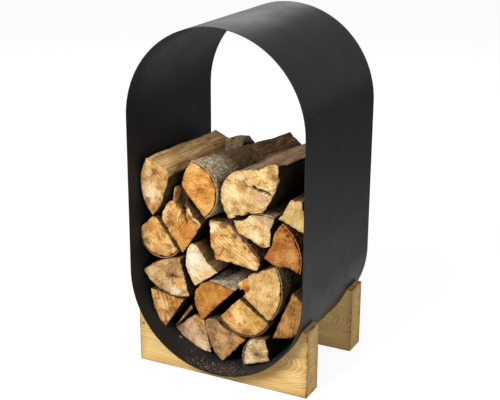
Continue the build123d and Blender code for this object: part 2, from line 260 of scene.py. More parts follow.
LOG_LOOKS = [
    LogLook(
        "log_top_left", "log_tan", (232, 190, 130), (206, 156, 92), (148, 98, 50),
        pale_side=(252, 210, 146), dark_side=(166, 116, 66), pile_shade=0, line_angle=-45, line_share=0.3,
        body="left_log",
        patches=[
            Patch(0.36, 0.42, 34, (248, 224, 178), 0.7), Patch(0.3, 0.94, 22, (236, 190, 116), 0.8),
            Patch(0.8, 0.86, 20, (232, 182, 108), 0.8), Patch(0.52, 0.77, 13, (128, 84, 46), 0.9),
            Patch(0.25, 0.26, 11, (120, 78, 44), 0.85), Patch(0.6, 0.5, 10, (190, 140, 84), 0.7)]),
    LogLook(
        "log_top_centre", "log_amber", (236, 178, 100), (216, 152, 74), (174, 108, 42),
        pale_side=(120, 88, 56), dark_side=(52, 37, 26), pith=(0.1, 0.2), line_share=0.2,
        patches=[
            Patch(0.39, 0.89, 24, (240, 192, 122), 0.75), Patch(0.6, 0.49, 12, (166, 98, 38), 0.8),
            Patch(0.72, 0.17, 20, (238, 184, 104), 0.75), Patch(0.94, 0.65, 14, (172, 98, 42), 0.85),
            Patch(0.3, 0.55, 14, (232, 174, 94), 0.7)],
        cracks=[Crack(0.3, 0.66, -38, 46, 1.4, 0.5), Crack(0.36, 0.46, 24, 40, 1.2, 0.45)]),
    LogLook(
        "log_top_right", "log_pale", (244, 216, 158), (228, 190, 124), (176, 128, 70),
        pale_side=(182, 146, 104), dark_side=(72, 52, 36), pile_shade=0, pith=(0.45, 0.5), line_angle=-35,
        line_share=0.25, torn=0.5, quad=FINE_QUAD, body="right_log",
        patches=[
            Patch(0.38, 0.6, 17, (170, 118, 64), 0.85), Patch(0.4, 0.33, 13, (190, 138, 76), 0.8),
            Patch(0.66, 0.42, 26, (206, 162, 124), 0.9), Patch(0.5, 0.28, 10, (160, 114, 70), 0.8),
            # At the upper right, the pale patches at 0.84/0.66 and 0.7/0.82 are pale wood with painted light
            # on the raised chunk's facet, and the dark ones at 0.85/0.98 and 0.92/0.84 are painted shade
            # about it
            Patch(0.2, 0.45, 26, (248, 224, 168), 0.7), Patch(0.84, 0.66, 20, (254, 226, 160), 0.85),
            Patch(0.7, 0.82, 12, (252, 220, 150), 0.8), Patch(0.85, 0.98, 11, (166, 120, 62), 0.8),
            Patch(0.92, 0.84, 11, (146, 100, 48), 0.9), Patch(0.55, 0.93, 10, (140, 102, 68), 0.9)],
        cracks=[
            Crack(0.08, 0.67, 2, 26, 1.4), Crack(0.26, 0.7, -6, 26, 1.2), Crack(0.4, 0.71, -58, 24, 2.2),
            Crack(0.44, 0.63, -8, 28, 1.6)],
        dents=[Dent(0.88, 0.76, 25, -8), Dent(0.3, 0.03, 9, 16), Dent(0.48, 0.12, 7, 12)],
        grooves=[Groove(0.58, 0.6, -13, 54, 6, 14)],
        lumps=[Lump(0.86, 0.96, 26, 11)],
        valleys=[Valley(0.63, 0.9, 0.25, 1.5, 0.12)]),
    LogLook(
        "log_top_back", "log_grey", (88, 68, 46), (70, 52, 34), (42, 31, 22), pale_side=(138, 106, 72),
        dark_side=(62, 46, 31), pile_shade=0, body="right_log"),
    LogLook(
        "rear_offcut", "log_grey", (168, 150, 120), (136, 116, 88), (84, 66, 46),
        pale_side=(180, 162, 132), dark_side=(96, 76, 54), pile_shade=0),
    LogLook(
        "log_fourth_left", "log_amber", (240, 194, 124), (212, 154, 80), (148, 90, 38), pith=(0.5, 0.9),
        line_angle=60, quad=FINE_QUAD,
        patches=[
            Patch(0.6, 0.44, 26, (200, 124, 44), 0.8), Patch(0.4, 0.2, 26, (216, 148, 66), 0.7),
            Patch(0.1, 0.78, 22, (246, 208, 146), 0.9), Patch(0.22, 0.53, 9, (132, 100, 70), 0.7, 0.7),
            Patch(0.78, 0.86, 15, (250, 226, 182), 0.9), Patch(0.93, 0.73, 15, (250, 228, 186), 0.9),
            Patch(0.71, 0.72, 10, (156, 88, 38), 0.9), Patch(0.47, 1.1, 26, (118, 82, 48), 0.9),
            Patch(0.5, 0.97, 22, (58, 40, 27), 0.9, 0.9), Patch(0.38, 1.22, 9, (196, 148, 88), 0.9),
            Patch(0.52, 1.26, 8, (70, 48, 31), 0.9)],
        cracks=[Crack(0.5, 0.75, -112, 30, 2)],
        dents=[Dent(0.5, 0.93, 15, 20, 0.35), Dent(0.55, 0.8, 9, 16, 0.8), Dent(0.86, 0.78, 18, -6)],
        grooves=[Groove(0.56, 0.8, -70, 44, 5, 12)],
        lumps=[Lump(0.46, 0.99, 21, 42)]),
    LogLook(
        "log_fourth_centre", "log_pale", (252, 226, 166), (240, 206, 142), (188, 140, 82),
        pale_side=(184, 150, 116), line_angle=-38, line_share=0.45, pith=(0.2, 0.1), pile_shade=0.3,
        patches=[
            Patch(0.66, 0.93, 20, (186, 146, 112), 0.85), Patch(0.93, 0.86, 17, (196, 158, 126), 0.85),
            Patch(0.72, 0.08, 12, (160, 92, 40), 0.9), Patch(0.2, 0.48, 12, (216, 162, 88), 0.8),
            Patch(0.54, 0.36, 20, (254, 234, 182), 0.7)]),
    LogLook(
        "log_fourth_right", "log_pale", (244, 212, 150), (232, 196, 128), (202, 158, 90), line_angle=85,
        line_share=0.25, pith=(0.1, 0.2), pale_side=(190, 140, 84),
        patches=[Patch(0.6, 1.02, 12, (186, 104, 42), 0.9), Patch(0.48, 0.43, 20, (212, 168, 94), 0.6)]),
    LogLook(
        "log_third_far_left", "log_tan", (246, 202, 132), (230, 178, 104), (172, 116, 58),
        pith=(0.5, 1.1), line_share=0.2, line_angle=-20,
        patches=[
            Patch(0.9, 0.47, 24, (244, 206, 144), 0.85), Patch(0.32, 0.74, 24, (200, 130, 60), 0.8),
            Patch(0.17, 0.34, 14, (122, 88, 58), 0.85, 0.9), Patch(0.79, 0.28, 12, (156, 118, 80), 0.8),
            Patch(0.5, 0.1, 18, (178, 126, 72), 0.7)]),
    LogLook(
        "log_third_left", "log_pale", (253, 240, 212), (245, 222, 180), (214, 172, 114),
        pale_side=(186, 140, 88), dark_side=(104, 72, 44), pith=(0.9, 0.2), line_angle=-45, pile_shade=0.6,
        patches=[
            Patch(0.66, 0.36, 24, (234, 186, 110), 0.9), Patch(0.35, 0.14, 14, (216, 164, 96), 0.8),
            Patch(0.22, 0.62, 26, (253, 244, 222), 0.7)]),
    LogLook(
        "log_third_centre", "log_tan", (250, 214, 146), (232, 186, 114), (172, 108, 46),
        pale_side=(140, 102, 66), dark_side=(56, 40, 28), line_angle=-38, line_mm=4.5, line_share=0.5,
        torn=1.5, pith=(0, 0), quad=FINE_QUAD,
        patches=[
            Patch(0.06, 0.58, 22, (200, 112, 36), 0.9), Patch(0.08, 0.2, 20, (190, 112, 44), 0.8),
            Patch(0.08, 0.84, 16, (250, 228, 184), 0.9), Patch(0.3, 0.99, 17, (84, 58, 37), 0.95),
            Patch(0.5, 0.72, 12, (100, 68, 42), 0.85), Patch(0.79, 0.43, 8, (180, 82, 40), 0.9),
            Patch(0.7, 0.5, 9, (98, 68, 44), 0.8), Patch(0.85, 0.14, 16, (250, 216, 152), 0.8)]),
    LogLook(
        "log_third_right", "log_amber", (210, 146, 80), (188, 118, 54), (140, 80, 33),
        pale_side=(150, 106, 64), pith=(0, 0.2), line_share=0.2,
        patches=[
            Patch(0.12, 0.28, 22, (178, 98, 38), 0.85), Patch(0.74, 0.34, 26, (218, 158, 92), 0.8),
            Patch(0.65, 0.77, 6, (50, 32, 20), 0.95), Patch(0.58, 0.87, 5, (56, 36, 22), 0.95),
            Patch(0.4, 0.5, 12, (160, 92, 40), 0.7)]),
    LogLook(
        "log_second_far_left", "log_grey", (236, 202, 152), (210, 168, 112), (146, 102, 58),
        pith=(0.63, 0.5), line_angle=35, line_mm=3,
        patches=[
            Patch(0.77, 0.36, 17, (234, 170, 82), 0.9), Patch(0.7, 0.82, 24, (156, 108, 62), 0.8),
            Patch(0.7, 0.13, 17, (246, 228, 192), 0.9), Patch(0.44, 0.69, 20, (172, 126, 78), 0.75),
            Patch(0.12, 0.52, 17, (230, 192, 138), 0.7), Patch(0.63, 0.52, 23, (116, 72, 40), 0.85, 1.6)],
        cracks=[
            Crack(0.63, 0.5, 4, 44, 2.6, 0.5), Crack(0.63, 0.5, 66, 34, 2.2, 0.45),
            Crack(0.63, 0.5, 280, 34, 2.2, 0.55)],
        dents=[Dent(0.63, 0.5, 5, 5, 0.6)]),
    LogLook(
        "log_second_left", "log_amber", (216, 152, 76), (198, 132, 58), (162, 96, 37), line_angle=-8,
        pith=(0.4, 2.2), ring_share=0.55, ring_mm=5,
        patches=[
            Patch(0.45, 0.6, 26, (210, 146, 68), 0.7), Patch(0.9, 0.83, 16, (184, 112, 44), 0.7),
            Patch(0.2, 0.14, 16, (176, 108, 44), 0.7)]),
    LogLook(
        "log_second_right", "log_pale", (246, 212, 146), (228, 186, 116), (186, 134, 70),
        pith=(0.3, 0.53), line_angle=82, quad=FINE_QUAD,
        patches=[
            Patch(0.19, 0.53, 24, (214, 136, 56), 0.95), Patch(0.24, 0.5, 12, (152, 84, 33), 0.95),
            Patch(0.16, 0.33, 12, (200, 120, 46), 0.9), Patch(0.07, 0.57, 8, (244, 194, 114), 0.85),
            Patch(0.63, 0.26, 20, (214, 164, 98), 0.7), Patch(0.67, 0.69, 9, (210, 158, 88), 0.7)],
        cracks=[Crack(0.04, 0.44, 8, 30, 4)],
        dents=[Dent(0.12, 0.42, 8, 16)]),
    LogLook(
        "log_second_centre", "log_tan", (244, 200, 124), (222, 170, 94), (172, 114, 52), pith=(0.4, 1),
        line_angle=-30, line_share=0.2, pile_shade=1, dark_side=(44, 31, 21),
        patches=[
            Patch(0.43, 0.44, 22, (254, 222, 146), 0.9), Patch(0.34, 0.6, 16, (250, 212, 132), 0.8),
            Patch(0.56, 0.04, 22, (138, 88, 42), 0.85), Patch(0.95, 0.48, 14, (160, 118, 76), 0.85),
            Patch(0.66, 0.6, 13, (204, 144, 72), 0.8), Patch(0.1, 0.41, 13, (192, 134, 66), 0.75)]),
    LogLook(
        "log_floor_far_left", "log_tan", (244, 200, 132), (216, 162, 92), (144, 90, 40), line_angle=-72,
        line_mm=6, line_share=0.65, torn=0.7, pith=(1, 1),
        patches=[
            Patch(0.9, 0.87, 22, (178, 108, 44), 0.85), Patch(0.36, 0.62, 20, (250, 212, 148), 0.6)]),
    LogLook(
        "log_floor_left", "log_grey", (234, 200, 158), (212, 170, 126), (156, 112, 76), line_angle=-50,
        pith=(1, 1),
        patches=[
            Patch(0.2, 0.46, 22, (142, 104, 76), 0.85, 0.7),
            Patch(0.52, 0.46, 22, (222, 178, 142), 0.75), Patch(0.7, 0.86, 15, (206, 130, 54), 0.9),
            Patch(0.78, 0.14, 18, (244, 216, 174), 0.8)]),
    LogLook(
        "log_floor_centre", "log_grey", (216, 172, 116), (188, 142, 90), (124, 88, 52), line_angle=-45,
        line_share=0.5, pith=(0.1, 1),
        patches=[
            Patch(0.9, 0.61, 19, (206, 132, 54), 0.9), Patch(0.16, 0.84, 22, (132, 106, 70), 0.85),
            Patch(0.42, 0.55, 18, (222, 178, 130), 0.8), Patch(0.42, 0.1, 14, (208, 156, 92), 0.7)]),
    LogLook(
        "log_floor_right", "log_pale", (250, 224, 174), (228, 192, 136), (150, 112, 72),
        pith=(0.5, 0.44), line_share=0.15,
        patches=[
            Patch(0.5, 0.46, 19, (140, 106, 74), 0.8, 1.2), Patch(0.5, 0.44, 8, (84, 62, 45), 0.8, 1.2),
            Patch(0.36, 0.92, 15, (206, 196, 170), 0.9), Patch(1, 0.5, 13, (196, 124, 56), 0.85),
            Patch(0.24, 0.14, 15, (252, 230, 186), 0.8)]),
    LogLook(
        "log_floor_far_right", "log_amber", (212, 160, 94), (190, 134, 70), (132, 84, 38), line_angle=82,
        line_mm=5, line_share=0.45, pith=(0, 0.4),
        patches=[Patch(0.4, 0.3, 20, (218, 160, 88), 0.7)]),
    LogLook(
        "kindling_stick", "log_tan", (200, 156, 98), (170, 126, 76), (96, 66, 42), quad=STICK_QUAD),
]


@dataclass
class BarkLook:
    """How one log's bark looks: its tones, its cut edge, the share of lichen, and its far end's tone."""
    node: str
    slot: str
    pale: tuple
    dark: tuple
    edge: tuple
    lichen_share: float
    rear: tuple = None
    body: str = "rack"


LICHEN = (212, 200, 170)
BARK_LOOKS = [
    BarkLook("log_top_centre_bark", "bark_grey", (200, 176, 138), (116, 92, 64), (170, 132, 90), 0.6,
             rear=(84, 61, 41)),
    BarkLook("log_second_left_bark", "bark_grey", (196, 180, 148), (112, 88, 60), (176, 128, 74), 0.75,
             rear=(104, 70, 42)),
    BarkLook("log_fourth_centre_bark", "bark_grey", (176, 146, 116), (104, 80, 60), (190, 156, 116), 0.4),
    BarkLook("log_floor_right_bark", "bark_brown", (134, 106, 78), (66, 48, 34), (150, 118, 82), 0.4),
    BarkLook("log_second_centre_bark", "bark_brown", (110, 78, 48), (56, 38, 26), (124, 84, 46), 0.1),
    BarkLook("log_second_right_bark", "bark_brown", (166, 132, 104), (90, 62, 44), (170, 128, 92), 0.5),
    BarkLook("log_third_right_bark", "bark_brown", (150, 98, 54), (74, 45, 26), (194, 128, 68), 0.05),
    BarkLook("log_third_centre_bark", "bark_brown", (118, 88, 60), (56, 40, 29), (150, 104, 62), 0.2),
    BarkLook("log_third_far_left_bark", "bark_brown", (136, 94, 58), (60, 39, 24), (166, 116, 68), 0.1),
]


# Shader building

class Nodes:
    """Adds nodes to a tree. A value that is a socket is linked, any other value is set."""

    def __init__(self, tree):
        self.tree = tree

    def feed(self, socket, value):
        if isinstance(value, bpy.types.NodeSocket):
            self.tree.links.new(value, socket)
        else:
            socket.default_value = value

    def fill(self, node, inputs):
        for name, value in inputs.items():
            self.feed(node.inputs[name], value)

    def add(self, kind, inputs=None, **settings):
        node = self.tree.nodes.new("ShaderNode" + kind)
        for name, value in settings.items():
            setattr(node, name, value)
        self.fill(node, inputs or {})
        return node

    def math(self, operation, *values):
        return self.add("Math", dict(enumerate(values)), operation=operation).outputs[0]

    def times(self, first, second):
        return self.math("MULTIPLY", first, second)

    def minus(self, first, second):
        return self.math("SUBTRACT", first, second)

    def times_plus(self, value, scale, base):
        return self.math("MULTIPLY_ADD", value, scale, base)

    def vector(self, operation, *values, output="Vector"):
        return self.add("VectorMath", dict(enumerate(values)), operation=operation).outputs[output]

    def scaled(self, vector, scale):
        return self.add("VectorMath", {0: vector, "Scale": scale}, operation="SCALE").outputs[0]

    def axes(self, place):
        return self.add("SeparateXYZ", {"Vector": place}).outputs

    def mix(self, share, first, second, blend="MIX"):
        inputs = {0: share, 6: first, 7: second}
        return self.add("Mix", inputs, data_type="RGBA", blend_type=blend).outputs[2]

    def step(self, value, low, high, first=0.0, last=1.0):
        """A soft step from first to last as value goes from low to high."""
        inputs = {"Value": value, "From Min": low, "From Max": high, "To Min": first, "To Max": last}
        return self.add("MapRange", inputs, interpolation_type="SMOOTHSTEP").outputs["Result"]

    def noise(self, place, scale, detail=2.0, roughness=0.5, distortion=0.0):
        node = self.add("TexNoise", {"Vector": place, "Scale": scale, "Detail": detail,
                                     "Roughness": roughness, "Distortion": distortion})
        return node.outputs[0]

    def stretched(self, place, scale, turn=(0.0, 0.0, 0.0)):
        node = self.add("Mapping", {"Vector": place, "Scale": scale, "Rotation": turn})
        return node.outputs["Vector"]

    def use(self, group, inputs):
        return self.add("Group", inputs, node_tree=GROUPS[group]).outputs


def new_group(name, inputs, outputs):
    """An empty node group with one vector input called Place, float inputs and float outputs."""
    tree = bpy.data.node_groups.new(name, "ShaderNodeTree")
    tree.interface.new_socket("Place", in_out="INPUT", socket_type="NodeSocketVector")
    for label in inputs:
        tree.interface.new_socket(label, in_out="INPUT", socket_type="NodeSocketFloat")
    for label in outputs:
        tree.interface.new_socket(label, in_out="OUTPUT", socket_type="NodeSocketFloat")
    given = tree.nodes.new("NodeGroupInput").outputs
    result = tree.nodes.new("NodeGroupOutput").inputs
    return tree, Nodes(tree), given, result


def growth_rings_group():
    """Growth rings about the Y axis. Place is in millimetres from the pith."""
    tree, nodes, given, result = new_group("growth_rings", ["Width"], ["Ring"])
    flat = nodes.vector("MULTIPLY", given["Place"], (1.0, 0.0, 1.0))
    wander = nodes.noise(nodes.stretched(given["Place"], (1.0, 0.15, 1.0)), 0.03, 2.0)
    radius = nodes.times_plus(wander, 26.0, nodes.vector("LENGTH", flat, output="Value"))
    phase = nodes.math("DIVIDE", radius, given["Width"])
    late_wood = nodes.math("POWER", nodes.math("FRACT", phase), 2.2)
    season = nodes.add("TexWhiteNoise", {"W": nodes.math("FLOOR", phase)}, noise_dimensions="1D")
    varied = nodes.times_plus(season.outputs["Value"], 0.7, 0.3)
    nodes.feed(result["Ring"], nodes.times(late_wood, varied))
    return tree


def saw_lines_group():
    """Lines that a saw or a tear leaves across a cut end, and hairs along them. Place is in millimetres."""
    tree, nodes, given, result = new_group("saw_lines", ["Angle", "Spacing"], ["Line", "Hair"])
    bend = nodes.times_plus(nodes.noise(given["Place"], 0.02, 1.0), 0.5, given["Angle"])
    angle = nodes.minus(bend, 0.25)
    turned = nodes.add("VectorRotate", {"Vector": given["Place"], "Angle": angle},
                       rotation_type="Y_AXIS").outputs[0]
    close = nodes.scaled(turned, nodes.math("DIVIDE", 1.0, given["Spacing"]))
    broad = nodes.noise(nodes.stretched(close, (0.07, 0.07, 1.0)), 1.0, 2.0, 0.6)
    level = nodes.axes(close)["Z"]
    tooth = nodes.math("SINE", nodes.times(nodes.math("ADD", level, broad), math.pi))
    line = nodes.times_plus(tooth, 0.1, broad)
    hair = nodes.noise(nodes.stretched(turned, (0.04, 0.04, 0.34)), 1.0, 3.0, 0.7)
    nodes.feed(result["Line"], nodes.step(line, 0.4, 0.6))
    nodes.feed(result["Hair"], nodes.step(hair, 0.36, 0.64))
    return tree


def mottle_group():
    """Uneven patches, fine grain and dark specks. Place is in millimetres."""
    tree, nodes, given, result = new_group("mottle", [], ["Patch", "Grain", "Speck"])
    broad = nodes.noise(given["Place"], 0.04, 4.0, 0.65, 0.7)
    nodes.feed(result["Patch"], broad)
    nodes.feed(result["Grain"], nodes.step(nodes.noise(given["Place"], 0.24, 3.0, 0.7), 0.34, 0.66))
    nodes.feed(result["Speck"], nodes.step(nodes.noise(given["Place"], 0.26, 2.0, 0.7), 0.62, 0.7))
    return tree


def soft_patch_group():
    """A ragged patch about the start point. Place is in millimetres; Rays makes it run out in spokes."""
    tree, nodes, given, result = new_group("soft_patch", ["Radius", "Rays"], ["Mask"])
    spot = nodes.vector("ADD", given["Place"], nodes.scaled((7.0, 0.0, 5.0), given["Radius"]))
    bend = nodes.add("TexNoise", {"Vector": spot, "Scale": 0.05, "Detail": 3.0}).outputs["Color"]
    bend = nodes.vector("SUBTRACT", bend, (0.5, 0.5, 0.5))
    bend = nodes.scaled(bend, given["Radius"])
    bent = nodes.vector("MULTIPLY_ADD", bend, (1.7, 1.7, 1.7), given["Place"])
    flat = nodes.vector("MULTIPLY", bent, (1.0, 0.0, 1.0))
    reach = nodes.math("DIVIDE", nodes.vector("LENGTH", flat, output="Value"), given["Radius"])
    spokes = nodes.noise(nodes.vector("NORMALIZE", given["Place"]), 4.5, 2.0, 0.6)
    reach = nodes.times_plus(nodes.minus(spokes, 0.5), given["Rays"], reach)
    rough = nodes.minus(nodes.noise(spot, 0.16, 4.0, 0.7), 0.5)
    reach = nodes.times_plus(rough, 1.3, reach)
    nodes.feed(result["Mask"], nodes.step(reach, 0.35, 1.15, 1.0, 0.0))
    return tree


def crack_group():
    """A crack that leaves the start point at Angle. Place, Length and Width are in millimetres."""
    tree, nodes, given, result = new_group("crack", ["Angle", "Length", "Width"], ["Mask"])
    turned = nodes.add("VectorRotate", {"Vector": given["Place"], "Angle": given["Angle"]},
                       rotation_type="Y_AXIS").outputs[0]
    axes = nodes.axes(turned)
    wobble = nodes.minus(nodes.noise(given["Place"], 0.11, 3.0, 0.6), 0.5)
    offset = nodes.math("ABSOLUTE", nodes.times_plus(wobble, 7.0, axes["Z"]))
    along = nodes.math("DIVIDE", axes["X"], given["Length"])
    thin = nodes.times(given["Width"], nodes.step(along, 0.2, 1.0, 1.0, 0.25))
    line = nodes.step(nodes.math("DIVIDE", offset, thin), 0.35, 1.0, 1.0, 0.0)
    ends = nodes.times(nodes.step(along, -0.06, 0.0), nodes.step(along, 0.8, 1.0, 1.0, 0.0))
    nodes.feed(result["Mask"], nodes.times(line, ends))
    return tree


def split_fibre_group():
    """Fibres that run along a log's split sides. Place is in millimetres, with Y along the log."""
    tree, nodes, given, result = new_group("split_fibre", [], ["Streak", "Height"])
    broad = nodes.noise(nodes.stretched(given["Place"], (0.055, 0.005, 0.055)), 1.0, 3.0, 0.6, 0.4)
    thin = nodes.noise(nodes.stretched(given["Place"], (0.28, 0.012, 0.28)), 1.0, 3.0, 0.65)
    hair = nodes.noise(nodes.stretched(given["Place"], (0.9, 0.03, 0.9)), 1.0, 2.0)
    both = nodes.times_plus(thin, 0.5, nodes.times(broad, 0.5))
    nodes.feed(result["Streak"], nodes.step(both, 0.36, 0.64))
    nodes.feed(result["Height"], nodes.times_plus(hair, 0.3, nodes.times(thin, 0.7)))
    return tree


def bark_plates_group():
    """Bark broken into plates, with lichen on it. Place is in millimetres, with Y along the log."""
    tree, nodes, given, result = new_group("bark_plates", [], ["Furrow", "Growth"])
    bend = nodes.add("TexNoise", {"Vector": given["Place"], "Scale": 0.05, "Detail": 2.0}).outputs["Color"]
    bent = nodes.vector("MULTIPLY_ADD", bend, (14.0, 14.0, 14.0), given["Place"])
    plates = nodes.add("TexVoronoi", {"Vector": nodes.stretched(bent, (0.11, 0.035, 0.11)), "Scale": 1.0},
                       feature="DISTANCE_TO_EDGE").outputs["Distance"]
    nodes.feed(result["Furrow"], nodes.step(plates, 0.0, 0.14, 1.0, 0.0))
    nodes.feed(result["Growth"], nodes.noise(given["Place"], 0.085, 5.0, 0.72, 0.8))
    return tree


GROUPS = {
    "rings": growth_rings_group(),
    "lines": saw_lines_group(),
    "mottle": mottle_group(),
    "patch": soft_patch_group(),
    "crack": crack_group(),
    "fibre": split_fibre_group(),
    "bark": bark_plates_group(),
}


def new_material(name):
    """A material, its nodes, its Principled shader and its Object coordinates."""
    material = bpy.data.materials.new(name)
    material.use_nodes = True
    nodes = Nodes(material.node_tree)
    shader = material.node_tree.nodes["Principled BSDF"]
    place = nodes.add("TexCoord").outputs["Object"]
    return material, nodes, shader, place


def in_millimetres(nodes, place, start=(0.0, 0.0, 0.0), turn=(0.0, 0.0, 0.0)):
    """Object coordinates in millimetres from a start point, turned about it."""
    centred = nodes.vector("SUBTRACT", place, tuple(start))
    return nodes.stretched(centred, (1000.0, 1000.0, 1000.0), turn)


def relief(nodes, height, distance_mm, strength=1.0):
    """A normal that follows a height between 0 and 1."""
    bump = nodes.add("Bump", {"Height": height, "Distance": distance_mm * MM, "Strength": strength})
    return bump.outputs["Normal"]


def attribute(nodes, name):
    return nodes.add("Attribute", attribute_name=name).outputs["Fac"]


# Log shapes

@dataclass
class LogFrame:
    """Where a log lies: the box of its near end, its near centre, and the way to its far end."""
    low: Vector
    high: Vector
    centre: Vector
    axis: Vector
    length: float

    def spot(self, across, up):
        """A point of the near end, from shares of its width and height."""
        x = self.low.x + (self.high.x - self.low.x) * across
        z = self.low.z + (self.high.z - self.low.z) * up
        return Vector((x, self.centre.y, z))

    def along(self, point):
        """How far a point lies behind the near end, along the log."""
        return (point - self.centre).dot(self.axis)

    def turn(self):
        """Angles that lay the log's own direction along Y."""
        return (-math.asin(self.axis.z), 0.0, math.atan2(self.axis.x, self.axis.y))


def end_points(node, pick):
    points = [vertex.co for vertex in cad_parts[node].data.vertices]
    edge = pick(point.y for point in points)
    return [point for point in points if abs(point.y - edge) < MM]


def box_middle(points):
    low = Vector(min(point[k] for point in points) for k in range(3))
    high = Vector(max(point[k] for point in points) for k in range(3))
    return low, high, (low + high) / 2


def log_frame(node):
    low, high, near = box_middle(end_points(node, min))
    far = box_middle(end_points(node, max))[2]
    return LogFrame(low, high, near, (far - near).normalized(), (far - near).length)


def new_piece(name, shape):
    """A new object in the scene, made of a shape that is then let go."""
    mesh = bpy.data.meshes.new(name)
    shape.to_mesh(mesh)
    shape.free()
    piece = bpy.data.objects.new(name, mesh)
    bpy.context.scene.collection.objects.link(piece)
    return piece


def merged_copy(node):
    """A new object with a CAD node's shape, its loose triangles merged."""
    shape = bmesh.new()
    shape.from_mesh(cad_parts[node].data)
    bmesh.ops.remove_doubles(shape, verts=shape.verts, dist=MERGE)
    return new_piece(node + "_rough", shape)


def apply_modifiers(piece):
    depsgraph = bpy.context.evaluated_depsgraph_get()
    piece.data = bpy.data.meshes.new_from_object(piece.evaluated_get(depsgraph))
    piece.modifiers.clear()


def remesh(piece, quad):
    """Rebuilds a piece's mesh from small, even quads."""
    modifier = piece.modifiers.new("even_quads", "REMESH")
    modifier.mode = "VOXEL"
    modifier.voxel_size = quad
    modifier.use_smooth_shade = True
    apply_modifiers(piece)


def wear_edges(piece, shares):
    """Rounds a log's long edges, each vertex by its share."""
    group = piece.vertex_groups.new(name="worn")
    for index, share in enumerate(shares):
        group.add([index], share, "REPLACE")
    modifier = piece.modifiers.new("worn_edges", "SMOOTH")
    modifier.factor = 0.5
    modifier.iterations = WORN_ROUNDS
    modifier.vertex_group = group.name
    apply_modifiers(piece)
    piece.vertex_groups.clear()


def soft_step(low, high, value):
    share = min(max((value - low) / (high - low), 0.0), 1.0)
    return share * share * (3 - 2 * share)


def new_seed():
    """A far-off start point, so that no two pieces wear alike."""
    return Vector([SEEDS.uniform(-50, 50) for _ in range(3)])


def uneven(place, across, along, seed, octaves=2):
    """Noise whose features are across metres wide, and along metres long in the fibre's direction."""
    spot = Vector((place.x / across, place.y / along, place.z / across)) + seed
    return noise.fractal(spot, 0.8, 2.0, octaves)


def rim_distances(mesh, shape, end_shares):
    """For each vertex, how far it is from the rim of the log's cut ends."""
    sides = [vertex.co for vertex, share in zip(mesh.vertices, end_shares) if share < 0.5]
    tree = kdtree.KDTree(len(sides))
    for index, point in enumerate(sides):
        tree.insert(point, index)
    tree.balance()
    distances = []
    for vertex, share in zip(mesh.vertices, end_shares):
        if share >= 0.5:
            distances.append(tree.find(vertex.co)[2])
        else:
            along = shape.along(vertex.co)
            distances.append(max(0.0, min(along, shape.length - along)))
    return distances


def flat_way(start, point):
    """The way from one point to another, as it looks from the front."""
    return Vector((point.x - start.x, point.z - start.z))


def dent_depth(look, shape, point):
    """How deep the dents and grooves of the near end are at a point, and how much of that depth is painted as
    shade.
    """
    depth = 0.0
    dark = 0.0
    ragged = 0.5 * noise.noise(point * DENT_NOISE)
    for dent in look.dents:
        centre = shape.spot(dent.across, dent.up)
        reach = flat_way(centre, point).length / (dent.radius_mm * MM)
        sunk = dent.depth_mm * MM * (1 - soft_step(0.5, 1.3, reach + ragged))
        depth += sunk
        dark += sunk * dent.dark
    for groove in look.grooves:
        start = shape.spot(groove.across, groove.up)
        angle = math.radians(groove.angle)
        way = Vector((math.cos(angle), math.sin(angle)))
        offset = flat_way(start, point)
        share = min(max(offset.dot(way) / (groove.length_mm * MM), 0.0), 1.0)
        aside = (offset - way * share * groove.length_mm * MM).length
        aside += GROOVE_WOBBLE * noise.noise(point * GROOVE_NOISE)
        width = groove.width_mm * MM * (1.1 - share)
        sunk = groove.depth_mm * MM * (1 - soft_step(0.4, 1.2, aside / width))
        depth += sunk
        dark += sunk
    return depth, dark


def top_rise(look, shape, point):
    """How far a log's top is lifted by its lumps, or lowered into its valleys, at a point."""
    along = max(0.0, shape.along(point))
    ragged = noise.noise(point * TOP_NOISE)
    rise = 0.0
    for lump in look.lumps:
        centre = shape.spot(lump.across, lump.up)
        reach = flat_way(centre, point).length / (lump.radius_mm * MM)
        back = 1 - soft_step(LUMP_REACH / 6, LUMP_REACH, along)
        rise += lump.height_mm * MM * back * (1 - soft_step(0.3, 1.2, reach + 0.25 * ragged))
    for valley in look.valleys:
        floor = shape.spot(valley.across, valley.up)
        aside = point.x - floor.x
        slope = valley.right_slope if aside > 0 else -valley.left_slope
        limit = floor.z + slope * aside + valley.back_slope * along + VALLEY_WOBBLE * ragged
        rise = min(rise, max(limit - point.z, -VALLEY_DEPTH))
    return rise


def end_depth(look, point, seed):
    """How far a cut end is worn back at a point: lumps and torn lines."""
    angle = math.radians(look.line_angle)
    across = point.z * math.cos(angle) - point.x * math.sin(angle)
    along = point.x * math.cos(angle) + point.z * math.sin(angle)
    close = 1 / (look.line_mm * MM)
    lines = noise.fractal(Vector((across * close, along * close * 0.1, 0.0)) + seed, 0.8, 2.0, 2)
    lumps = noise.noise(point * END_NOISE + seed)
    return MM * (END_LUMP_MM * lumps + look.torn * lines)


def side_depth(point, seed):
    """How far a split side is worn back at a point: long ridges and broad waves."""
    ridge = RIDGE_DEPTH * (0.45 + 1.2 * uneven(point, RIDGE_WIDTH, RIDGE_LENGTH, seed, 3))
    wave = WAVE_DEPTH * (0.2 + 1.6 * uneven(point, WAVE_WIDTH, WAVE_LENGTH, seed))
    return max(-SWELL, ridge + wave)


def notch(point, shape, distance, end_share, seed):
    """How a log's edge is broken away near its cut ends, towards its middle line."""
    reach = NOTCH_REACH + (RIM_REACH - NOTCH_REACH) * end_share
    bite = max(0.0, uneven(point, NOTCH_WIDTH, NOTCH_LENGTH, seed) - 0.05)
    bite *= NOTCH_DEPTH * math.exp(-distance / reach)
    return (shape.centre + shape.axis * shape.along(point) - point).normalized() * bite


def set_values(mesh, name, values):
    layer = mesh.attributes.new(name, "FLOAT", "POINT")
    layer.data.foreach_set("value", values)


